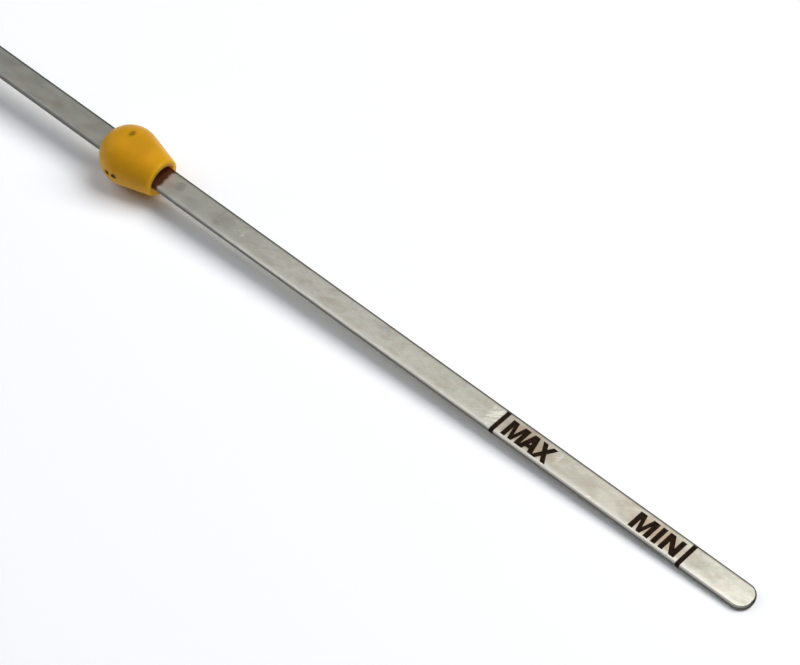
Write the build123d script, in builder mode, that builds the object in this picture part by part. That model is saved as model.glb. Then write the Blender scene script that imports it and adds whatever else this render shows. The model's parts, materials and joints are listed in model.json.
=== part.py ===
from build123d import *

import os
from math import acos, asin, atan2, cos, degrees, hypot, radians, sin

# Engine oil dipstick, in millimetres: a flat steel gauge blade, a moulded guide bead pushed on to it,
# a pull handle moulded over its upper end, and the ring that seals the handle in the dipstick tube.
# The stick lies at rest on the plane Z = 0, on its tip, its bead and the lower flat of the collar.
# X runs along the stick with the tip at +X, and the origin lies under the middle of its length.
# Distances along the stick are measured from its tip towards the handle.

os.makedirs("parts", exist_ok=True)

# Gauge blade, a rolled strip
blade_length = 292.0
blade_width = 5.0
blade_thickness = 1.2
blade_edge_radius = 0.35
tip_flat_width = 0.4
anchor_hole_radius = 1.2
anchor_hole_to_end = 9.0

# Guide bead, domed towards the handle and tapered to a nose, where its slot opens in an arch over the blade
bead_from_tip = 134.5
bead_radius = 5.4
bead_nose_length = 7.6
bead_lip = 0.85
bead_rim_round = 0.35
bead_slot_clearance = 0.15
bead_mouth_height = 1.8
bead_mouth_depth = 5.0
bead_mouth_round = 0.12

# Scars of the bead's moulding: a shallow ejector mark on top and a gate broken off in two bites
ejector_mark_radius = 0.8
ejector_mark_depth = 0.28
ejector_mark_lean = 8.0
gate_bite_radius = 0.55
gate_bite_depth = 0.28
gate_bite_spacing = 1.5
gate_ahead = 0.3

# Pull handle: the spigot that enters the tube, the collar that stops on it, and the finger ring
blade_past_seat = 5.0
spigot_radius = 6.0
spigot_length = 19.0
spigot_chamfer = 0.8
collar_radius = 12.0
collar_thickness = 3.2
collar_edge_radius = 0.6
ring_inner_radius = 9.0
ring_wall = 4.0
ring_from_collar = 17.5
neck_width = 12.0
grip_thickness = 5.0
grip_edge_radius = 1.4

# Seal ring, standing a little proud of the spigot so that the tube squeezes it
seal_diameter = 2.0
seal_proud = 0.4
seal_from_seat = 5.0
seal_groove_clearance = 0.3
seal_seat_clearance = 0.04

# The stick's places, worked out from the sizes above
seat_from_tip = blade_length - blade_past_seat
collar_back = seat_from_tip + collar_thickness
ring_centre = collar_back + ring_from_collar
ring_outer_radius = ring_inner_radius + ring_wall
overall_length = ring_centre + ring_outer_radius

# How the stick lies: the resting plane is tangent to the tip's rounded lower edge and to the bead
tip_edge_drop = blade_thickness / 2 - blade_edge_radius
tip_edge_to_bead = bead_from_tip - blade_edge_radius
lie = asin((bead_radius - blade_edge_radius) / hypot(tip_edge_to_bead, tip_edge_drop)) - atan2(
    tip_edge_drop, tip_edge_to_bead
)
tip_height = blade_edge_radius * (1 - sin(lie)) + tip_edge_drop * cos(lie)

# The stick's own plane: x towards the handle, z square to the blade's upper face
stick = Plane(
    origin=(overall_length / 2 * cos(lie), 0, tip_height),
    x_dir=(-cos(lie), 0, sin(lie)),
    z_dir=(sin(lie), 0, cos(lie)),
)
stick_axis = Axis(stick.origin, stick.x_dir)
blade_normal = Axis(stick.origin, stick.z_dir)
# The same plane turned on edge: x towards the handle, y square to the blade's face
stick_on_edge = Plane(stick.origin, x_dir=stick.x_dir, z_dir=-stick.y_dir)


def across(distance):
    """The plane square to the stick at a distance from the tip, with y square to the blade's face."""
    return Plane(stick.origin + stick.x_dir * distance, x_dir=stick.y_dir, z_dir=stick.x_dir)


# Gauge blade: rounded along every edge, with a hole that anchors it in the handle's moulding
tip_corner_radius = (blade_width - tip_flat_width) / 2
with BuildPart() as gauge_blade:
    with BuildSketch(stick) as blade_outline:
        Rectangle(blade_length, blade_width, align=(Align.MIN, Align.CENTER))
        fillet(blade_outline.vertices().sort_by(Axis.X)[:2], tip_corner_radius)
    extrude(amount=blade_thickness / 2, both=True)
    broad_faces = gauge_blade.faces().filter_by(blade_normal)
    fillet(broad_faces.edges(), blade_edge_radius)
    with BuildSketch(stick):
        with Locations((blade_length - anchor_hole_to_end, 0)):
            Circle(anchor_hole_radius)
    extrude(amount=blade_thickness, both=True, mode=Mode.SUBTRACT)
gauge_blade.part.label = "gauge_blade"
export_step(gauge_blade.part, "parts/gauge_blade.step")

# Guide bead: a ball whose front runs off along a tangent cone to the nose, turned about the stick's axis
bead_slot_width = blade_width + 2 * bead_slot_clearance
bead_mouth_foot = (bead_slot_width / 2, blade_thickness / 2)
bead_mouth_top = blade_thickness / 2 + bead_mouth_height
bead_nose_radius = max(hypot(*bead_mouth_foot), bead_mouth_top) + bead_lip
bead_taper = atan2(bead_nose_length, bead_nose_radius) - acos(
    bead_radius / hypot(bead_nose_length, bead_nose_radius)
)
bead_plane = Plane(stick.origin + stick.x_dir * bead_from_tip, x_dir=-stick.x_dir, z_dir=stick.z_dir)
bead_nose = across(bead_from_tip - bead_nose_length)
ejector_reach = bead_radius + ejector_mark_radius - ejector_mark_depth
ejector_lean = radians(ejector_mark_lean)
ejector_centre = (0, ejector_reach * sin(ejector_lean), ejector_reach * cos(ejector_lean))
gate_reach = bead_radius + gate_bite_radius - gate_bite_depth
gate_centres = [(gate_ahead + side * gate_bite_spacing / 2, -gate_reach, 0) for side in (-1, 1)]

with BuildPart() as guide_bead:
    with BuildSketch(bead_plane):
        with BuildLine():
            ball = CenterArc((0, 0), bead_radius, 180, -90 - degrees(bead_taper))
            cone = Line(ball @ 1, (bead_nose_length, bead_nose_radius))
            Polyline(cone @ 1, (bead_nose_length, 0), ball @ 0)
        make_face()
    revolve(axis=Axis(bead_plane.origin, bead_plane.x_dir))
    # The slot grips the blade's two faces and leaves room at its edges
    with BuildSketch(bead_nose):
        Rectangle(bead_slot_width, blade_thickness)
    extrude(amount=bead_nose_length + bead_radius, mode=Mode.SUBTRACT)
    # The mouth arches over the blade, so that the bead can be pushed on
    with BuildSketch(bead_nose):
        with BuildLine():
            half_width, foot = bead_mouth_foot
            arch = ThreePointArc((-half_width, foot), (0, bead_mouth_top), (half_width, foot))
            Polyline(arch @ 1, (half_width, 0), (-half_width, 0), arch @ 0)
        make_face()
    extrude(amount=bead_mouth_depth, mode=Mode.SUBTRACT)
    nose_face = guide_bead.faces().filter_by(stick_axis).sort_by(stick_axis)[0]
    fillet(nose_face.outer_wire().edges(), bead_rim_round)
    nose_face = guide_bead.faces().filter_by(stick_axis).sort_by(stick_axis)[0]
    fillet(nose_face.inner_wires()[0].edges(), bead_mouth_round)
    with Locations(bead_plane.from_local_coords(ejector_centre)):
        Sphere(ejector_mark_radius, mode=Mode.SUBTRACT)
    with Locations([bead_plane.from_local_coords(centre) for centre in gate_centres]):
        Sphere(gate_bite_radius, mode=Mode.SUBTRACT)
guide_bead.part.label = "guide_bead"
export_step(guide_bead.part, "parts/guide_bead.step")

# Pull handle
seal_radius = seal_diameter / 2
seal_from_tip = seat_from_tip - seal_from_seat
groove_floor_radius = spigot_radius + seal_proud - seal_diameter
groove_half_width = seal_radius + seal_groove_clearance
spigot_end = seat_from_tip - spigot_length
# The flats stand at the height at which the collar's rounded lower edge meets the resting plane
collar_edge_height = tip_height + (seat_from_tip + collar_edge_radius) * sin(lie)
collar_flat = collar_edge_radius + (collar_edge_height - collar_edge_radius) / cos(lie)

with BuildPart() as pull_handle:
    # Spigot with its seal groove and lead-in, and the collar, turned about the stick's axis
    with BuildSketch(stick_on_edge):
        with BuildLine():
            Polyline(
                (spigot_end, 0),
                (spigot_end, spigot_radius - spigot_chamfer),
                (spigot_end + spigot_chamfer, spigot_radius),
                (seal_from_tip - groove_half_width, spigot_radius),
                (seal_from_tip - groove_half_width, groove_floor_radius),
                (seal_from_tip + groove_half_width, groove_floor_radius),
                (seal_from_tip + groove_half_width, spigot_radius),
                (seat_from_tip, spigot_radius),
                (seat_from_tip, collar_radius),
                (collar_back, collar_radius),
                (collar_back, 0),
                close=True,
            )
        make_face()
    revolve(axis=stick_axis)
    # Two flats on the collar, level with the blade's faces
    with BuildSketch(across(spigot_end)):
        Rectangle(2 * collar_radius, 2 * collar_flat)
    extrude(amount=collar_back - spigot_end, mode=Mode.INTERSECT)
    collar_faces = pull_handle.faces().filter_by(stick_axis).sort_by(SortBy.AREA)[-2:]
    collar_rims = [face.outer_wire().edges() for face in collar_faces]
    fillet(collar_rims[0] + collar_rims[1], collar_edge_radius)
    # Finger ring and the neck that runs into it, lying in the blade's plane
    with BuildSketch(stick):
        with Locations((collar_back, 0)):
            Rectangle(collar_edge_radius, neck_width, align=(Align.MIN, Align.CENTER))
        with Locations((ring_centre, 0)):
            Circle(ring_outer_radius)
        make_hull()
        with Locations((ring_centre, 0)):
            Circle(ring_inner_radius, mode=Mode.SUBTRACT)
    extrude(amount=grip_thickness / 2, both=True)
    grip_faces = pull_handle.faces().filter_by(blade_normal).filter_by_position(
        stick_axis, collar_back, overall_length
    )
    neck_root = collar_back + collar_edge_radius
    grip_rims = grip_faces.edges().filter_by_position(stick_axis, neck_root, overall_length)
    fillet(grip_rims, grip_edge_radius)
    # The blade's end is moulded in
    add(gauge_blade.part, mode=Mode.SUBTRACT)
pull_handle.part.label = "pull_handle"
export_step(pull_handle.part, "parts/pull_handle.step")

# Seal ring in the spigot's groove
with BuildPart() as seal_ring:
    with BuildSketch(stick_on_edge):
        with Locations((seal_from_tip, groove_floor_radius + seal_seat_clearance + seal_radius)):
            Circle(seal_radius)
    revolve(axis=stick_axis)
seal_ring.part.label = "seal_ring"
export_step(seal_ring.part, "parts/seal_ring.step")
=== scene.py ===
"""Looks of an engine oil dipstick: a marked steel blade, a moulded guide bead, a pull handle and its seal."""

import json
from math import asin, cos, pi, radians, sin

import bpy
import numpy as np
from bpy.props import FloatProperty, FloatVectorProperty, PointerProperty
from mathutils import Matrix, Vector
from mathutils.geometry import tessellate_polygon


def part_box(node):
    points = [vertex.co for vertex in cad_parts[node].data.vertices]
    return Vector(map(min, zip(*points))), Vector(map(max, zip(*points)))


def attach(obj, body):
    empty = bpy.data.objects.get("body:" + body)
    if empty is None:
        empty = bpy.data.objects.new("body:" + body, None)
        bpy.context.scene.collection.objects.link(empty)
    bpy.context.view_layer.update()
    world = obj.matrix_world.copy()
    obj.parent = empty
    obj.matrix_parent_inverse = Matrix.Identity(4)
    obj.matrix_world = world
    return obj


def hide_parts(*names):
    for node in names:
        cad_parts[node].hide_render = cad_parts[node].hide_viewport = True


bl_info = {
    "name": "Engine oil dipstick",
    "version": (1, 0, 0),
    "blender": (4, 5, 0),
    "location": "3D View > Sidebar > Dipstick",
    "description": "Builds the marked blade and the finishes of an engine oil dipstick round its CAD frame",
    "category": "Object",
}

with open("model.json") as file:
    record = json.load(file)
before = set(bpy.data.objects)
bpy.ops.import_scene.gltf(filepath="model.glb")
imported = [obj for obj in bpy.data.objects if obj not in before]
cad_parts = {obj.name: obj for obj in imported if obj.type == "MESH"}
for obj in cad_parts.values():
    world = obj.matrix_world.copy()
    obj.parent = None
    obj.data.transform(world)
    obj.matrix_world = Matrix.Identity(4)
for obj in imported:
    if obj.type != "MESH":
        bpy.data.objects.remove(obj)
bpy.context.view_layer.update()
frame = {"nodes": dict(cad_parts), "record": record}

MM = 0.001
BODY = "root"


def linear(hex_colour):
    """The linear RGB of an sRGB hex colour such as #c8a030."""
    srgb = np.array([int(hex_colour[i : i + 2], 16) for i in (1, 3, 5)]) / 255
    return tuple(float(c) for c in np.where(srgb <= 0.04045, srgb / 12.92, ((srgb + 0.055) / 1.055) ** 2.4))


# The stick's own axes, read from the frame: along to the tip, across to the far edge, out of the blade's face
spigot_mount = frame["record"]["mounts"][0]
ALONG = np.array(Vector(spigot_mount["axis"]).normalized())
ACROSS = np.array((0.0, 1.0, 0.0))
OUT = np.cross(ALONG, ACROSS)
LIE = asin(-ALONG[2])


def node_points(name):
    """A CAD node's vertices as an array of rows, in metres."""
    mesh = frame["nodes"][name].data
    points = np.empty(3 * len(mesh.vertices))
    mesh.vertices.foreach_get("co", points)
    return points.reshape(-1, 3)


# The blade's place and size: how far its points reach from the spigot's mount along each axis of the stick
mount_place = np.array(spigot_mount["pos_m"])
blade_reach = (node_points("gauge_blade") - mount_place) @ np.stack([ALONG, ACROSS, OUT], 1)
BLADE_LENGTH, BLADE_WIDTH, BLADE_THICKNESS = np.ptp(blade_reach, axis=0)
TIP = mount_place + ALONG * blade_reach[:, 0].max()

# The bead's ball: its radius is half of the bead's height, and its dome ends the bead towards the handle
bead_low, bead_high = (np.array(corner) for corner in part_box("guide_bead"))
BEAD_RADIUS = (bead_high[2] - bead_low[2]) / 2
BEAD_CENTRE = np.array((bead_low[0] + BEAD_RADIUS, 0.0, bead_low[2] + BEAD_RADIUS))


def on_stick(from_tip, across, out):
    """Points at distances from the tip towards the handle, across to the far edge and out of the face."""
    along, aside = np.multiply.outer(from_tip, ALONG), np.multiply.outer(across, ACROSS)
    return TIP - along + aside + np.multiply.outer(out, OUT)


class BladeSettings(bpy.types.PropertyGroup):
    """Sizes of the gauge blade and colours of its steel"""

    edge_radius: FloatProperty(
        name="Edge radius", description="Round along the strip's edges", default=0.35 * MM, unit="LENGTH"
    )
    tip_corner_radius: FloatProperty(
        name="Tip corner radius",
        description="Round of the tip's two corners",
        default=2.3 * MM,
        unit="LENGTH",
    )
    pale_steel: FloatVectorProperty(
        name="Pale steel", description="Clean satin steel", default=linear("#d6d3c5"), subtype="COLOR"
    )
    dull_steel: FloatVectorProperty(
        name="Dull steel",
        description="Steel under a thin film of oil",
        default=linear("#c2c0b1"),
        subtype="COLOR",
    )
    # Darker steel, laid towards the handle and in speckles
    darker_steel: FloatVectorProperty(
        name="Soiled steel",
        description="Steel that is seldom wiped",
        default=linear("#bbb9ad"),
        subtype="COLOR",
    )
    # Bright steel: real rubbed spots and wiping streaks, paler steel across the middle, and the painted
    # highlight along the near edge
    worn_steel_and_highlight: FloatVectorProperty(
        name="Worn steel", description="Steel rubbed bright", default=linear("#efeadd"), subtype="COLOR"
    )
    # Also lays painted shade: the slit sides partly, and the edge's round towards the handle
    slit_steel_and_shade: FloatVectorProperty(
        name="Slit steel",
        description="Dark steel of the slit sides",
        default=linear("#6f6d69"),
        subtype="COLOR",
    )
    stained_steel: FloatVectorProperty(
        name="Stained steel",
        description="Steel under an oil stain",
        default=linear("#77776c"),
        subtype="COLOR",
    )
    # Painted shade along the far edge and round the tip's rim
    painted_shade_steel: FloatVectorProperty(
        name="Grimy steel",
        description="Dark far edge and tip's rim",
        default=linear("#403e3b"),
        subtype="COLOR",
    )
    # Old oil in and by the bead, dark enough to be painted shade there too
    old_oil_and_shade: FloatVectorProperty(
        name="Old oil", description="Old oil, where it stays", default=linear("#55301a"), subtype="COLOR"
    )


class MarkSettings(bpy.types.PropertyGroup):
    """Places, sizes and colours of the level marks"""

    max_from_tip: FloatProperty(
        name="Upper level",
        description="Upper level line's distance from the tip",
        default=51.22 * MM,
        unit="LENGTH",
    )
    min_from_tip: FloatProperty(
        name="Lower level",
        description="Lower level line's distance from the tip",
        default=13.05 * MM,
        unit="LENGTH",
    )
    line_width: FloatProperty(
        name="Line width", description="Width of the level lines", default=0.84 * MM, unit="LENGTH"
    )
    cap_height: FloatProperty(
        name="Cap height", description="Height of the letters", default=3.5 * MM, unit="LENGTH"
    )
    stroke: FloatProperty(
        name="Stroke", description="Width of the letters' upright strokes", default=0.88 * MM, unit="LENGTH"
    )
    max_gap: FloatProperty(
        name="Upper word gap",
        description="Space between the upper level line and its word",
        default=1.057 * MM,
        unit="LENGTH",
    )
    min_gap: FloatProperty(
        name="Lower word gap",
        description="Space between the lower level line and its word",
        default=0.78 * MM,
        unit="LENGTH",
    )
    word_offset: FloatProperty(
        name="Word offset",
        description="Distance of the words from the blade's middle towards its near edge",
        default=0.21 * MM,
        unit="LENGTH",
    )
    slant: FloatProperty(
        name="Slant", description="Lean of the marks towards the tip, for each unit across", default=0.045
    )
    burnt: FloatVectorProperty(
        name="Burnt mark",
        description="Steel blackened by the marking laser",
        default=linear("#1c1108"),
        subtype="COLOR",
    )
    heat_tint: FloatVectorProperty(
        name="Heat tint",
        description="Steel coloured by heat round the marks",
        default=linear("#b39e8a"),
        subtype="COLOR",
    )


class MouldingSettings(bpy.types.PropertyGroup):
    """Colours of the moulded pieces"""

    yellow: FloatVectorProperty(
        name="Yellow",
        description="Body colour of the yellow plastic",
        default=linear("#d19a1d"),
        subtype="COLOR",
    )
    sheen: FloatVectorProperty(
        name="Sheen", description="Tint of the plastic's sheen", default=linear("#f0c060"), subtype="COLOR"
    )
    # Also laid as painted shade over the bead's top
    dirt_and_top_shade: FloatVectorProperty(
        name="Dirt",
        description="Old oil and dust in the plastic's scars",
        default=linear("#4a3108"),
        subtype="COLOR",
    )
    seal_black: FloatVectorProperty(
        name="Seal black",
        description="Body colour of the seal's rubber",
        default=linear("#1d1d1e"),
        subtype="COLOR",
    )


class StageSettings(bpy.types.PropertyGroup):
    """Camera, lights and floor"""

    azimuth: FloatProperty(
        name="Camera azimuth",
        description="Turn of the camera from the front",
        default=radians(41.1),
        subtype="ANGLE",
    )
    elevation: FloatProperty(
        name="Camera elevation",
        description="Camera's height above the floor",
        default=radians(52.11),
        subtype="ANGLE",
    )
    distance: FloatProperty(
        name="Camera distance",
        description="From the camera to what it looks at",
        default=0.5105,
        unit="LENGTH",
    )
    lens: FloatProperty(name="Lens", description="Focal length in millimetres", default=137.9)
    key_level: FloatProperty(
        name="Key level",
        description="Brightness of the key soft box, against lit white paper",
        default=6.5,
    )
    fill_level: FloatProperty(
        name="Fill level",
        description="Brightness of the fill soft box, against lit white paper",
        default=1.6,
    )
    fill_white: FloatVectorProperty(
        name="Fill", description="Colour of the fill soft box", default=linear("#e6f0ff"), subtype="COLOR"
    )
    side_level: FloatProperty(
        name="Side level",
        description="Brightness of the side soft box, against lit white paper",
        default=1.4,
    )
    room_level: FloatProperty(
        name="Room level", description="Brightness of the room, against lit white paper", default=0.05
    )
    room_white: FloatVectorProperty(
        name="Room", description="Colour of the room's light", default=linear("#dfe9ff"), subtype="COLOR"
    )
    floor_white: FloatVectorProperty(
        name="Floor", description="Colour of the paper floor", default=linear("#fcfcfc"), subtype="COLOR"
    )


class DipstickSettings(bpy.types.PropertyGroup):
    """All settings of the dipstick"""

    blade: PointerProperty(type=BladeSettings)
    marks: PointerProperty(type=MarkSettings)
    moulding: PointerProperty(type=MouldingSettings)
    stage: PointerProperty(type=StageSettings)


def add_node(tree, kind, inputs=None, **settings):
    """Adds a node with its settings. An input that is a node or a socket is linked, any other is a value."""
    node = tree.nodes.new(kind)
    for name, value in settings.items():
        setattr(node, name, value)
    for name, value in (inputs or {}).items():
        if isinstance(value, bpy.types.Node):
            value = next(socket for socket in value.outputs if socket.enabled)
        if isinstance(value, bpy.types.NodeSocket):
            tree.links.new(value, node.inputs[name])
        else:
            node.inputs[name].default_value = value
    return node


def new_material(name):
    """A material with an empty node tree."""
    material = bpy.data.materials.new(name)
    material.use_nodes = True
    material.node_tree.nodes.clear()
    return material, material.node_tree


def stick_place(tree, origin):
    """A surface's place in millimetres from an origin: along to the tip, across, and out of the face."""
    place = add_node(tree, "ShaderNodeTexCoord").outputs["Object"]
    inputs = {"Vector": place, "Location": origin, "Rotation": (0, LIE, 0), "Scale": (MM, MM, MM)}
    return add_node(tree, "ShaderNodeMapping", inputs, vector_type="TEXTURE")


def blotches(tree, place, size, turn=0.0, detail=2.0, low=0.35, high=0.65):
    """Soft blotches as shares from 0 to 1: noise drawn out to a size in millimetres and turned on a face."""
    inputs = {"Vector": place, "Rotation": (0, 0, turn), "Scale": size}
    drawn_out = add_node(tree, "ShaderNodeMapping", inputs, vector_type="TEXTURE")
    noise = add_node(tree, "ShaderNodeTexNoise", {"Vector": drawn_out, "Scale": 1.0, "Detail": detail})
    inputs = {"Value": noise, "From Min": low, "From Max": high}
    return add_node(tree, "ShaderNodeMapRange", inputs, interpolation_type="SMOOTHSTEP")


def patch(tree, place, centre, reach, strength=1.0, ragged=0.5, grain=0.8):
    """A ragged patch with a soft rim: its strength in the middle and 0 past its reach, in millimetres.

    The distance from its centre, in shares of its reach, is made uneven by noise of the grain's size.
    """
    inputs = {"Vector": place, "Location": centre, "Scale": reach}
    offset = add_node(tree, "ShaderNodeMapping", inputs, vector_type="TEXTURE")
    distance = add_node(tree, "ShaderNodeVectorMath", {0: offset}, operation="LENGTH")
    noise = add_node(tree, "ShaderNodeTexNoise", {"Vector": place, "Scale": 1 / grain, "Detail": 3.0})
    uneven = add_node(tree, "ShaderNodeMath", {0: noise, 1: ragged, 2: distance}, operation="MULTIPLY_ADD")
    inputs = {"Value": uneven, "From Min": 0.4 + ragged / 2, "From Max": 1 + ragged / 2}
    inputs |= {"To Min": strength, "To Max": 0.0}
    return add_node(tree, "ShaderNodeMapRange", inputs, interpolation_type="SMOOTHSTEP")


def layered(tree, ground, layers):
    """A colour with others laid over it in turn, each by the product of its shares of the surface."""
    colour = (*ground, 1)
    for over, share, *other_shares in layers:
        for other in other_shares:
            share = add_node(tree, "ShaderNodeMath", {0: share, 1: other}, operation="MULTIPLY")
        inputs = {"Factor": share, "A": colour, "B": (*over, 1)}
        colour = add_node(tree, "ShaderNodeMix", inputs, data_type="RGBA")
    return colour


def finish_material(tree, inputs):
    """Ends a material in a Principled shader with these inputs."""
    shader = add_node(tree, "ShaderNodeBsdfPrincipled", inputs)
    add_node(tree, "ShaderNodeOutputMaterial", {"Surface": shader})


# Attributes of the blade's skin: the edge's lean, and each point's shares of the lit and the shaded side
LEAN, LIT_SIDE, SHADED_SIDE = "edge_lean", "lit_side", "shaded_side"

# Marks of use on the blade's face: centre along to the tip, across and out of the face, reach, and strength
# Lengths here are in millimetres, and those along the blade count from the tip
OIL_STAINS = (
    ((-123.0, 0.5, 0.6), (1.3, 1.3, 2), 0.3),
    ((-112.2, 0.4, 0.6), (3.0, 1.4, 2), 0.2),
    ((-113.6, -1.1, 0.6), (1.0, 0.7, 2), 0.25),
    ((-77.0, 1.2, 0.6), (4.0, 0.9, 2), 0.2),
    ((-10.7, 0.0, 0.6), (2.4, 4.0, 2), 0.2),
)
RUBBED_SPOTS = (
    ((-52.6, 0.0, 0.6), (1.9, 3.0, 2), 0.9),
    ((-108.1, 0.1, 0.6), (0.4, 1.5, 2), 0.5),
    ((-39.6, 0.4, 0.6), (0.6, 1.8, 2), 0.5),
    ((-59.0, -2.2, 0.6), (4.0, 0.5, 2), 0.7),
    ((-31.8, -2.25, 0.6), (3.8, 0.7, 2), 0.9),
    ((-9.5, -1.6, 0.6), (3.4, 0.9, 2), 0.25),
)
# Old oil and painted shade on the blade inside the bead and just past it: the stretch's middle, where from
# there the dark starts to thin and ends, and how far the mottled film makes that end uneven
MOUTH_OIL_AND_SHADE = (-130.85, 4.85, 5.45)
MOUTH_OIL_AND_SHADE_UNEVEN = 0.5
# The middle of the blade, laid in paler steel, and the stretch round the marks, tinted by the laser's heat
PALE_MIDDLE = ((-84.0, 0.0, 0.6), (27.0, 5.0, 4), 0.3)
HEATED_END = ((-32.0, 0.0, 0.6), (27.0, 5.0, 4), 0.15)
# The bloom of heat round a word: how far its middle is from the level line, its reach and its strength
WORD_BLOOM = (5.4, (6.4, 2.9, 2), 0.85)
# Where the wiping streaks fade out and the face turns darker towards the handle, and how far the mottled film
# makes that uneven
DARKER_FROM_TIP = (-94.0, -135.0)
DARKER_UNEVEN = 9.0
# Leans of the edge at which its round and then its slit side come in, from 0 on a face to 1 on the side
ROUND_LEANS = (0.02, 0.2)
SLIT_LEANS = (0.65, 0.92)
# Borders of the face, in from its edges: a painted highlight along the near one and painted shade along the
# far one
NEAR_HIGHLIGHT_BORDER = (0.55, 1.1)
FAR_SHADE_BORDER = (0.6, 0.38)
# Where the far edge's round passes into its side wall, in from that edge
FAR_WALL = (0.15, 0.02)


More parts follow.
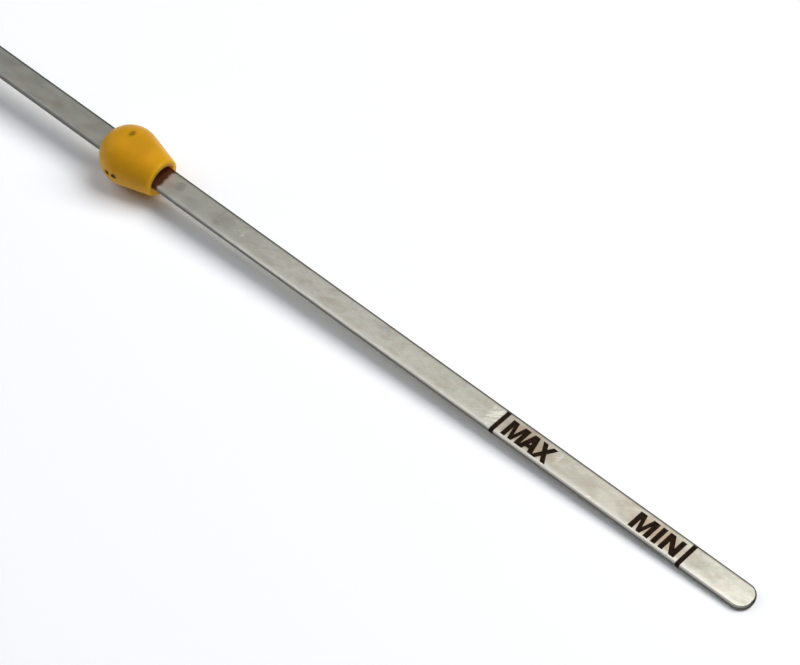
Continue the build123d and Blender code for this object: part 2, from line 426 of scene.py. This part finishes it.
def blade_material(settings, marks):
    """Cold-rolled steel strip, satin and wiped many times.

    It gives a soft grey sheen with a mottled film of oil, slanted wiping scratches, face steel that is darker
    towards the handle and paler in the middle, a painted highlight along the near edge on the lit side, dark
    slit sides that are partly painted shade, painted shade along the far edge and round the tip's rim, old
    oil with painted shade by the bead and a brown bloom of heat round the burnt marks. Its rolling lines are
    drawn coarser than real ones, which are too fine to show.
    """
    material, tree = new_material("satin_rolled_steel")
    place = stick_place(tree, TIP)
    axes = add_node(tree, "ShaderNodeSeparateXYZ", {"Vector": place}).outputs
    wiping = radians(38)
    film = blotches(tree, place, (3.6, 1.8, 2.0), detail=3.0)
    speckle = blotches(tree, place, (0.9, 0.6, 0.6), low=0.42, high=0.75)
    bloom = blotches(tree, place, (2.6, 1.3, 2.0), turn=radians(20), low=0.45, high=0.75)
    wipes = blotches(tree, place, (6.0, 0.22, 1.0), turn=wiping, low=0.5, high=0.72)
    streaks = blotches(tree, place, (2.4, 0.4, 1.0), turn=wiping, detail=3.0, low=0.36, high=0.56)
    rolling = blotches(tree, place, (40.0, 0.16, 1.0), detail=1.0, low=0.2, high=0.8)

    # Where the wiping streaks fade out and the face turns darker towards the handle, made uneven by the film
    # of oil
    inputs = {0: film, 1: DARKER_UNEVEN, 2: axes["X"]}
    uneven = add_node(tree, "ShaderNodeMath", inputs, operation="MULTIPLY_ADD")
    inputs = {"Value": uneven, "From Min": DARKER_FROM_TIP[0], "From Max": DARKER_FROM_TIP[1]}
    toward_handle = add_node(tree, "ShaderNodeMapRange", inputs, interpolation_type="SMOOTHSTEP")
    inputs |= {"To Min": 1.0, "To Max": 0.0}
    wiped = add_node(tree, "ShaderNodeMapRange", inputs, interpolation_type="SMOOTHSTEP")

    # The edge's round, its slit side, the near border of painted highlight and the far border of painted
    # shade
    lean = add_node(tree, "ShaderNodeAttribute", attribute_name=LEAN).outputs["Fac"]
    lit = add_node(tree, "ShaderNodeAttribute", attribute_name=LIT_SIDE).outputs["Fac"]
    shaded = add_node(tree, "ShaderNodeAttribute", attribute_name=SHADED_SIDE).outputs["Fac"]
    inputs = {"Value": lean, "From Min": ROUND_LEANS[0], "From Max": ROUND_LEANS[1]}
    edge = add_node(tree, "ShaderNodeMapRange", inputs, interpolation_type="SMOOTHSTEP")
    inputs = {"Value": lean, "From Min": SLIT_LEANS[0], "From Max": SLIT_LEANS[1]}
    slit = add_node(tree, "ShaderNodeMapRange", inputs, interpolation_type="SMOOTHSTEP")
    half_width = BLADE_WIDTH / 2 / MM
    start, end = (inset - half_width for inset in NEAR_HIGHLIGHT_BORDER)
    inputs = {"Value": axes["Y"], "From Min": start, "From Max": end}
    near_border_highlight = add_node(tree, "ShaderNodeMapRange", {**inputs, "To Min": 0.45, "To Max": 0.0})
    rubbed = add_node(tree, "ShaderNodeMath", {0: edge, 1: near_border_highlight}, operation="MAXIMUM")
    start, end = (half_width - inset for inset in FAR_SHADE_BORDER)
    inputs = {"Value": axes["Y"], "From Min": start, "From Max": end}
    far_border_shade = add_node(tree, "ShaderNodeMapRange", {**inputs, "To Min": 0.0, "To Max": 0.6})
    start, end = (half_width - inset for inset in FAR_WALL)
    inputs = {"Value": axes["Y"], "From Min": start, "From Max": end}
    far_wall = add_node(tree, "ShaderNodeMapRange", inputs)

    # Old oil and painted shade, as far as the bead hides the blade and a little past
    inputs = {0: film, 1: MOUTH_OIL_AND_SHADE_UNEVEN, 2: axes["X"]}
    uneven = add_node(tree, "ShaderNodeMath", inputs, operation="MULTIPLY_ADD")
    offset = add_node(tree, "ShaderNodeMath", {0: uneven, 1: MOUTH_OIL_AND_SHADE[0]}, operation="SUBTRACT")
    distance = add_node(tree, "ShaderNodeMath", {0: offset}, operation="ABSOLUTE")
    inputs = {"Value": distance, "From Min": MOUTH_OIL_AND_SHADE[1], "From Max": MOUTH_OIL_AND_SHADE[2]}
    oil_and_shade = add_node(tree, "ShaderNodeMapRange", {**inputs, "To Min": 0.96, "To Max": 0.0})

    middle = patch(tree, place, *PALE_MIDDLE, ragged=0.2, grain=4.0)
    heated = patch(tree, place, *HEATED_END, ragged=0.2, grain=4.0)
    layers = [
        (settings.dull_steel, film),
        # Paler steel across the middle of the blade, and darker steel towards the handle
        (settings.worn_steel_and_highlight, middle),
        (settings.darker_steel, toward_handle),
        (settings.worn_steel_and_highlight, wipes, wiped, 0.2),
        (settings.darker_steel, speckle, 0.3),
        (marks.heat_tint, bloom, 0.35),
        (marks.heat_tint, heated),
    ]
    from_line, *bloom_shape = WORD_BLOOM
    for word_middle in (marks.max_from_tip / MM - from_line, marks.min_from_tip / MM + from_line):
        layers.append((marks.heat_tint, patch(tree, place, (-word_middle, 0.0, 0.6), *bloom_shape)))
    layers += [(settings.stained_steel, patch(tree, place, *stain, ragged=1.2)) for stain in OIL_STAINS]
    for spot in RUBBED_SPOTS:
        layers.append((settings.worn_steel_and_highlight, patch(tree, place, *spot, ragged=1.2), streaks))
    layers += [
        # Painted highlight on the near edge's round and border, on the lit side, fading towards the handle
        (settings.worn_steel_and_highlight, rubbed, wiped, lit),
        # Dark slit sides, partly painted shade, and painted shade on the edge's round towards the handle
        (settings.slit_steel_and_shade, slit),
        (settings.slit_steel_and_shade, edge, toward_handle, 0.5),
        # Painted shade along the far border, the far edge's round and the tip's rim
        (settings.painted_shade_steel, far_border_shade),
        (settings.painted_shade_steel, edge, shaded),
        (settings.slit_steel_and_shade, slit, far_wall),
        # Old oil and painted shade by the bead
        (settings.old_oil_and_shade, oil_and_shade),
    ]

    face_roughness = add_node(tree, "ShaderNodeMapRange", {"Value": film, "To Min": 0.47, "To Max": 0.52})
    inputs = {"Factor": edge, "A": face_roughness, "B": 0.56}
    roughness = add_node(tree, "ShaderNodeMix", inputs, data_type="FLOAT")
    relief = add_node(tree, "ShaderNodeMath", {0: rolling, 1: wipes}, operation="ADD")
    bump = add_node(tree, "ShaderNodeBump", {"Height": relief, "Strength": 0.07, "Distance": 0.02 * MM})
    colour = layered(tree, settings.pale_steel, layers)
    finish_material(tree, {"Base Color": colour, "Metallic": 1.0, "Roughness": roughness, "Normal": bump})
    return material


def mark_material(settings):
    """Steel blackened by a laser: a dry dark brown oxide, blotched where the beam's passes overlap."""
    material, tree = new_material("laser_blackened_steel")
    place = stick_place(tree, TIP)
    blotch = blotches(tree, place, (0.5, 0.5, 0.5), detail=3.0, low=0.35, high=0.7)
    colour = layered(tree, settings.burnt, [(tuple(2.0 * c for c in settings.burnt), blotch)])
    finish_material(tree, {"Base Color": colour, "Roughness": 0.8, "Specular IOR Level": 0.08})
    return material


def yellow_plastic(settings, name, origin, scars=()):
    """Moulded polyamide, satin from a spark-eroded mould.

    It gives a broad yellow sheen, a soft uneven tone from handling, old oil and dust held in its scars,
    painted shade where a patch of the same colour is laid over a top, and a faint grain that is drawn coarser
    than the real one, which is too fine to show. Light spreads under its skin.
    """
    material, tree = new_material(name)
    place = stick_place(tree, origin)
    tone = blotches(tree, place, (4.0, 4.0, 4.0), detail=3.0, low=0.3, high=0.7)
    grain = blotches(tree, place, (0.22, 0.22, 0.22), detail=1.0, low=0.2, high=0.8)
    layers = [(tuple(0.9 * c for c in settings.yellow), tone)]
    layers += [(settings.dirt_and_top_shade, patch(tree, place, *scar, ragged=0.3, grain=0.4)) for scar in scars]
    roughness = add_node(tree, "ShaderNodeMapRange", {"Value": tone, "To Min": 0.38, "To Max": 0.44})
    bump = add_node(tree, "ShaderNodeBump", {"Height": grain, "Strength": 0.1, "Distance": 0.02 * MM})
    finish_material(tree, {
        "Base Color": layered(tree, settings.yellow, layers),
        "Roughness": roughness,
        "IOR": 1.5,
        "Specular IOR Level": 0.2,
        "Specular Tint": (*settings.sheen, 1),
        "Subsurface Weight": 1.0,
        "Subsurface Radius": (1.0, 0.85, 0.4),
        "Subsurface Scale": 4.0 * MM,
        "Normal": bump,
    })
    return material


def seal_material(settings):
    """Moulded nitrile rubber: near black, dull, with a faint grey bloom."""
    material, tree = new_material("moulded_nitrile_rubber")
    place = stick_place(tree, TIP)
    bloom = blotches(tree, place, (1.5, 1.5, 1.5), detail=4.0, low=0.4, high=0.8)
    colour = layered(tree, settings.seal_black, [(tuple(2.0 * c for c in settings.seal_black), bloom)])
    finish_material(tree, {"Base Color": colour, "Roughness": 0.55, "IOR": 1.52})
    return material


def new_piece(name, points, faces, material):
    """A mesh piece with smooth faces, in place, riding on the dipstick's one body."""
    mesh = bpy.data.meshes.new(name)
    mesh.from_pydata(points.tolist(), [], [[int(corner) for corner in face] for face in faces])
    mesh.polygons.foreach_set("use_smooth", np.ones(len(mesh.polygons), bool))
    mesh.materials.append(material)
    piece = bpy.data.objects.new(name, mesh)
    bpy.context.scene.collection.objects.link(piece)
    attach(piece, BODY)
    return piece


def grid_faces(rows, columns, closed=False):
    """The quads of a grid of points, row after row. A closed grid joins its last column to its first."""
    across = columns if closed else columns - 1
    row, column = np.meshgrid(np.arange(rows - 1), np.arange(across), indexing="ij")
    here, following = row * columns + column, row * columns + (column + 1) % columns
    return np.stack([here, following, following + columns, here + columns], -1).reshape(-1, 4)


def strip_outline(settings, straight_rows=90, corner_rows=14, nose_rows=2):
    """The blade's outline from the handle along the near edge, round the tip and back along the far edge.

    Straight edges, a quarter circle at each of the tip's corners and a straight nose. Each row has its
    distance from the tip, its distance across and the direction square to the outline, as its shares to the
    tip and across.
    """
    half, radius = BLADE_WIDTH / 2, settings.tip_corner_radius
    edge = np.linspace(BLADE_LENGTH, radius, straight_rows)
    turn = np.linspace(0, pi / 2, corner_rows + 1)[1:]
    nose = np.linspace(half - radius, 0, nose_rows + 1)[1:-1]
    from_tip = np.concatenate([edge, radius * (1 - np.sin(turn)), 0 * nose])
    aside = np.concatenate([0 * edge + half, half - radius * (1 - np.cos(turn)), nose])
    angle = np.concatenate([0 * edge, turn, 0 * nose + pi / 2])
    to_tip, to_side = np.sin(angle), np.cos(angle)
    return (
        np.concatenate([from_tip, from_tip[::-1]]),
        np.concatenate([-aside, aside[::-1]]),
        np.concatenate([to_tip, to_tip[::-1]]),
        np.concatenate([-to_side, to_side[::-1]]),
    )


def strip_section(settings, round_steps=8, flat_margin=0.03 * MM):
    """The blade's edge in section, from the lower face to the upper: its inset, its height and its lean.

    Two quarter circles joined by the straight side, with one more point on each flat face, just inside its
    round, so that the flat stays flat when its shading is smoothed. The lean goes from 0 on a face to 1 on
    the side.
    """
    radius, half = settings.edge_radius, BLADE_THICKNESS / 2
    turn = np.linspace(0, pi / 2, round_steps + 1)
    inset = np.concatenate([[radius + flat_margin], radius * (1 - np.sin(turn))])
    height = np.concatenate([[half], half - radius * (1 - np.cos(turn))])
    lean = np.concatenate([[0], turn / (pi / 2)])
    return (
        np.concatenate([inset, inset[::-1]]),
        np.concatenate([-height, height[::-1]]),
        np.concatenate([lean, lean[::-1]]),
    )


def blade_surface(settings):
    """The blade as a closed skin: the edge's section carried along the outline.

    Each face is filled with quads from the near edge to the far one, and so is the end in the handle. Each
    point has the edge's lean and its share of the shaded side: 0 on the near edge, 1 on the tip and far edge.
    Its share of the lit side is the rest.
    """
    from_tip, across, to_tip, to_side = (row[:, None] for row in strip_outline(settings))
    inset, height, lean = strip_section(settings)
    rows, columns = len(from_tip), len(inset)
    points = on_stick(
        (from_tip + to_tip * inset).ravel(), (across - to_side * inset).ravel(), np.tile(height, rows)
    )
    row, column = np.arange(rows // 2 - 1), np.arange(columns - 1)
    near, far = row * columns, (rows - 1 - row) * columns
    end = (rows - 1) * columns
    faces = [
        grid_faces(rows, columns)[:, ::-1],
        np.stack([near, near + columns, far - columns, far], -1)[:, ::-1],
        np.stack([near, near + columns, far - columns, far], -1) + columns - 1,
        np.stack([column, column + 1, end + column + 1, end + column], -1),
    ]
    shaded = np.repeat(np.clip((1 + to_side + to_tip) / 2, 0, 1), columns)
    return points, np.vstack(faces), {LEAN: np.tile(lean, rows), LIT_SIDE: 1 - shaded, SHADED_SIDE: shaded}


class DIPSTICK_OT_blade(bpy.types.Operator):
    """Build the steel gauge blade"""

    bl_idname = "dipstick.blade"
    bl_label = "Gauge blade"

    def execute(self, context):
        settings = context.scene.dipstick
        points, faces, attributes = blade_surface(settings.blade)
        material = blade_material(settings.blade, settings.marks)
        blade = new_piece("blade_strip", points, faces, material)
        for name, values in attributes.items():
            blade.data.attributes.new(name, "FLOAT", "POINT").data.foreach_set("value", values)
        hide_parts("gauge_blade")
        return {"FINISHED"}


def letter_outlines(letter, height, stroke):
    """A plain bold capital: its width, the space beside it, and the outlines of its body and any hole in it.

    The corners follow from the height and the stroke. Upright strokes are one stroke wide, and slanted ones
    are measured level. Letters with upright sides keep clear of their neighbours, and an A closes up to them.
    """
    slant = 1.12 * stroke
    upright, leaning, crossed = 0.077 * height, -0.13 * height, 0.026 * height
    if letter == "I":
        return stroke, upright, [[(0, 0), (stroke, 0), (stroke, height), (0, height)]]
    if letter == "N":
        width = 0.872 * height
        run = width - slant
        upper = height * (1 - (width - stroke - slant) / run)
        lower = height * (1 - stroke / run)
        corners = [(0, 0), (stroke, 0), (stroke, lower), (width - slant, 0), (width, 0), (width, height)]
        corners += [(width - stroke, height), (width - stroke, upper), (slant, height), (0, height)]
        return width, upright, [corners]
    if letter == "M":
        width = 1.075 * height
        middle, half = width / 2, 0.36 * slant
        run = middle - stroke
        inner, outer = stroke - half, stroke + half
        lower = height * (1 - (stroke - inner) / run)
        notch = height * (1 - (middle - outer) / run)
        left = [(0, 0), (stroke, 0), (stroke, lower), (middle - half, 0)]
        right = [(width - x, y) for x, y in left[::-1]]
        top = [(width, height), (width - outer, height), (middle, notch), (outer, height), (0, height)]
        return width, upright, [left + right + top]
    if letter == "A":
        width = 0.9 * height
        apex, bar_low, bar_high = 0.54 * slant, 0.2 * height, 0.2 * height + 0.85 * stroke
        lean = (width / 2 - apex) / height
        left = [(0, 0), (slant, 0), (slant + lean * bar_low, bar_low)]
        right = [(width - x, y) for x, y in left[::-1]]
        hole_left = slant + lean * bar_high
        hole = [(hole_left, bar_high), (width / 2, (width / 2 - slant) / lean), (width - hole_left, bar_high)]
        return width, leaning, [left + right + [(width / 2 + apex, height), (width / 2 - apex, height)], hole]
    if letter == "X":
        width = 0.895 * height
        lean = (width - slant) / height
        rise = slant / (2 * lean)
        middle = height / 2
        corners = [(0, 0), (slant, 0), (width / 2, middle - rise), (width - slant, 0), (width, 0)]
        corners += [((width + slant) / 2, middle), (width, height), (width - slant, height)]
        corners += [(width / 2, middle + rise), (slant, height), (0, height), ((width - slant) / 2, middle)]
        return width, crossed, [corners]
    raise ValueError(f"no outline for the letter {letter}")


class DIPSTICK_OT_marks(bpy.types.Operator):
    """Lay the level lines and their words on the blade"""

    bl_idname = "dipstick.marks"
    bl_label = "Level marks"

    # Height of the burnt film and its step from letter to letter, and how the two words are drawn out
    film = 0.012 * MM
    film_step = 0.002 * MM
    narrow, wide = 0.975, 1.05
    sharp_angle = radians(40)

    def execute(self, context):
        settings = context.scene.dipstick.marks
        edge_radius = context.scene.dipstick.blade.edge_radius
        material = mark_material(settings)
        self.level_line("max_line", settings.max_from_tip, settings, edge_radius, material)
        self.level_line("min_line", settings.min_from_tip, settings, edge_radius, material)
        start = settings.max_from_tip - settings.line_width / 2 - settings.max_gap
        end = settings.min_from_tip + settings.line_width / 2 + settings.min_gap
        self.word("max_word", "MAX", settings, material, self.narrow, start=start)
        self.word("min_word", "MIN", settings, material, self.wide, end=end)
        return {"FINISHED"}

    def level_line(self, name, from_tip, settings, radius, material, face_steps=12, round_steps=8):
        """A band over the face, the near edge's round and the side: a thin section carried along its path."""
        half_width, half_thickness = BLADE_WIDTH / 2, BLADE_THICKNESS / 2
        turn = np.linspace(0, pi / 2, round_steps + 1)[1:]
        face = np.linspace(half_width - radius, radius - half_width, face_steps)
        across = np.concatenate([face, radius - half_width - radius * np.sin(turn), [-half_width]])
        side_end = radius - half_thickness
        drop = np.concatenate([0 * face, radius * (1 - np.cos(turn)), [half_thickness - side_end]])
        out = half_thickness - drop
        lean = np.concatenate([0 * face, turn, [pi / 2]])
        corners = []
        for lift, offset in ((1, 1), (1, -1), (-1, -1), (-1, 1)):
            place = from_tip + offset * settings.line_width / 2 - settings.slant * across
            film = lift * self.film
            corners.append(on_stick(place, across - film * np.sin(lean), out + film * np.cos(lean)))
        rows = len(lean)
        ends = [[0, 1, 2, 3], [4 * rows - 1, 4 * rows - 2, 4 * rows - 3, 4 * rows - 4]]
        faces = np.vstack([grid_faces(rows, 4, closed=True)[:, ::-1], ends])
        piece = new_piece(name, np.stack(corners, 1).reshape(-1, 3), faces, material)
        piece.data.set_sharp_from_angle(angle=self.sharp_angle)

    def word(self, name, text, settings, material, stretch, start=None, end=None):
        """A word read towards the tip: each letter's outline filled, made a thin film and laid on the face.

        Each letter's film stands a hair higher than the one before it, so that letters may overlap.
        """
        letters = [letter_outlines(letter, settings.cap_height, settings.stroke) for letter in text]
        gaps = [left[1] + right[1] for left, right in zip(letters, letters[1:])] + [0]
        length = stretch * (sum(letter[0] for letter in letters) + sum(gaps))
        left = start if end is None else end + length
        points, faces, count = [], [], 0
        for i, ((width, _, loops), gap) in enumerate(zip(letters, gaps)):
            flat = np.array([corner for loop in loops for corner in loop])
            fill = np.array(tessellate_polygon([[Vector((x, y, 0)) for x, y in loop] for loop in loops]))
            across = flat[:, 1] - settings.cap_height / 2 - settings.word_offset
            for lift in (self.film + i * self.film_step, -self.film):
                out = np.full(len(flat), BLADE_THICKNESS / 2 + lift)
                points.append(on_stick(left - stretch * flat[:, 0] - settings.slant * across, across, out))
            faces += [*(count + fill), *(count + len(flat) + fill[:, ::-1])]
            first = count
            for loop in loops:
                ring = first + np.arange(len(loop))
                following = np.roll(ring, -1)
                faces += [*np.stack([ring, ring + len(flat), following + len(flat), following], -1)]
                first += len(loop)
            count += 2 * len(flat)
            left -= stretch * (width + gap)
        piece = new_piece(name, np.vstack(points), faces, material)
        piece.data.set_sharp_from_angle(angle=self.sharp_angle)


def finish_node(name, material):
    """Gives a CAD node a material of its own."""
    node = frame["nodes"][name]
    node.data.materials.clear()
    node.data.materials.append(material)


class DIPSTICK_OT_bead(bpy.types.Operator):
    """Finish the guide bead, with old oil and dust in the scars of its moulding and painted shade on its top
    """

    bl_idname = "dipstick.bead"
    bl_label = "Guide bead"

    # Places in millimetres from the ball's centre, and the dark colour laid there by its reach and strength:
    # old oil and dust in the scars, painted shade on the top
    ejector_lean = radians(8)
    ejector_dirt = ((0.75, 1.25, 0.9), 0.45)
    mouth, mouth_dirt = (7.6, 0.0, 0.9), ((0.9, 3.4, 2.8), 0.45)
    # Painted shade over the bead's top, in the scars' dark colour
    top, top_grime = (0.9, 1.8, 4.7), ((6.5, 4.0, 4.0), 0.16)
    gate_spacing, gate_ahead = 1.5, 0.3
    gate_dirt = ((0.8, 0.7, 0.8), 1.0)

    def execute(self, context):
        radius = BEAD_RADIUS / MM
        ejector = (0, radius * sin(self.ejector_lean), radius * cos(self.ejector_lean))
        scars = [(ejector, *self.ejector_dirt), (self.mouth, *self.mouth_dirt), (self.top, *self.top_grime)]
        gates = [self.gate_ahead + side * self.gate_spacing / 2 for side in (-1, 1)]
        scars += [((gate, -radius, 0), *self.gate_dirt) for gate in gates]
        settings = context.scene.dipstick.moulding
        material = yellow_plastic(settings, "moulded_yellow_polyamide_bead", BEAD_CENTRE, scars)
        finish_node("guide_bead", material)
        return {"FINISHED"}


class DIPSTICK_OT_handle(bpy.types.Operator):
    """Finish the pull handle"""

    bl_idname = "dipstick.handle"
    bl_label = "Pull handle"

    def execute(self, context):
        settings = context.scene.dipstick.moulding
        finish_node("pull_handle", yellow_plastic(settings, "moulded_yellow_polyamide_handle", TIP))
        return {"FINISHED"}


class DIPSTICK_OT_seal(bpy.types.Operator):
    """Finish the rubber seal ring"""

    bl_idname = "dipstick.seal"
    bl_label = "Seal ring"

    def execute(self, context):
        finish_node("seal_ring", seal_material(context.scene.dipstick.moulding))
        return {"FINISHED"}


class DIPSTICK_OT_stage(bpy.types.Operator):
    """Set the floor, the lights and the camera"""

    bl_idname = "dipstick.stage"
    bl_label = "Stage"

    target = Vector((83.36, 4.61, 0)) * MM
    floor_size = 12.0
    floor_drop = 0.02 * MM
    key_place, key_size, key_roll = Vector((0.483, 0.423, 0.879)), (0.88, 0.69), radians(5)
    fill_place, fill_size, fill_roll = Vector((-0.217, -0.13, 0.56)), (0.42, 0.42), 0.0
    side_place, side_size, side_roll = Vector((-0.45, -0.2, 0.3)), (0.35, 0.35), 0.0

    def execute(self, context):
        settings = context.scene.dipstick.stage
        scene = context.scene
        scene.view_settings.view_transform = "Standard"
        self.floor(scene, settings)
        self.soft_box(scene, "key", settings.key_level, self.key_place, self.key_size, self.key_roll)
        fill = self.soft_box(
            scene, "fill", settings.fill_level, self.fill_place, self.fill_size, self.fill_roll
        )
        fill.color = settings.fill_white
        self.soft_box(scene, "side", settings.side_level, self.side_place, self.side_size, self.side_roll)
        self.room(scene, settings)
        self.camera(scene, settings)
        return {"FINISHED"}

    def floor(self, scene, settings):
        """A large sheet of white paper just under the dipstick."""
        material, tree = new_material("matt_white_paper")
        paper = add_node(tree, "ShaderNodeBsdfDiffuse", {"Color": (*settings.floor_white, 1)})
        add_node(tree, "ShaderNodeOutputMaterial", {"Surface": paper})
        half = self.floor_size / 2
        mesh = bpy.data.meshes.new("floor")
        corners = [(-half, -half), (half, -half), (half, half), (-half, half)]
        mesh.from_pydata([(x, y, -self.floor_drop) for x, y in corners], [], [(0, 1, 2, 3)])
        mesh.materials.append(material)
        floor = bpy.data.objects.new("floor", mesh)
        scene.collection.objects.link(floor)

    def soft_box(self, scene, name, level, place, size, roll):
        """A soft box that faces the target. Its power is pi times its area times its brightness."""
        lamp = bpy.data.lights.new(name, "AREA")
        lamp.shape = "RECTANGLE"
        lamp.size, lamp.size_y = size
        lamp.energy = pi * lamp.size * lamp.size_y * level
        back = (place - self.target).normalized()
        right = Vector(ACROSS).cross(back).normalized()
        box = bpy.data.objects.new(name, lamp)
        turned = Matrix((right, back.cross(right), back)).transposed() @ Matrix.Rotation(roll, 3, "Z")
        box.matrix_world = Matrix.Translation(place) @ turned.to_4x4()
        scene.collection.objects.link(box)
        return lamp

    def room(self, scene, settings):
        """Even, slightly blue light from all round."""
        world = bpy.data.worlds.new("studio")
        world.use_nodes = True
        sky = world.node_tree.nodes["Background"].inputs
        sky["Color"].default_value = (*settings.room_white, 1)
        sky["Strength"].default_value = settings.room_level
        scene.world = world

    def camera(self, scene, settings):
        """A camera that looks at the target from its azimuth and elevation."""
        turn, rise = settings.azimuth, settings.elevation
        back = Vector((sin(turn) * cos(rise), -cos(turn) * cos(rise), sin(rise)))
        data = bpy.data.cameras.new("camera")
        data.sensor_width = 36.0
        data.lens = settings.lens
        data.clip_start = 0.01
        camera = bpy.data.objects.new("camera", data)
        camera.location = self.target + back * settings.distance
        camera.rotation_euler = back.to_track_quat("Z", "Y").to_euler()
        scene.collection.objects.link(camera)
        scene.camera = camera


OPERATORS = (
    DIPSTICK_OT_stage,
    DIPSTICK_OT_blade,
    DIPSTICK_OT_marks,
    DIPSTICK_OT_bead,
    DIPSTICK_OT_handle,
    DIPSTICK_OT_seal,
)


class VIEW3D_PT_dipstick(bpy.types.Panel):
    bl_label = "Dipstick"
    bl_space_type = "VIEW_3D"
    bl_region_type = "UI"
    bl_category = "Dipstick"

    def draw(self, context):
        for operator in OPERATORS:
            self.layout.operator(operator.bl_idname)
        settings = context.scene.dipstick
        for group in (settings.blade, settings.marks, settings.moulding, settings.stage):
            box = self.layout.box()
            for name in group.__annotations__:
                box.prop(group, name)


CLASSES = (
    BladeSettings,
    MarkSettings,
    MouldingSettings,
    StageSettings,
    DipstickSettings,
    *OPERATORS,
    VIEW3D_PT_dipstick,
)


def register():
    for cls in CLASSES:
        bpy.utils.register_class(cls)
    bpy.types.Scene.dipstick = PointerProperty(type=DipstickSettings)


def unregister():
    del bpy.types.Scene.dipstick
    for cls in reversed(CLASSES):
        bpy.utils.unregister_class(cls)


def main():
    register()
    bpy.ops.dipstick.stage()
    bpy.ops.dipstick.blade()
    bpy.ops.dipstick.marks()
    bpy.ops.dipstick.bead()
    bpy.ops.dipstick.handle()
    bpy.ops.dipstick.seal()


if __name__ == "__main__":
    main()
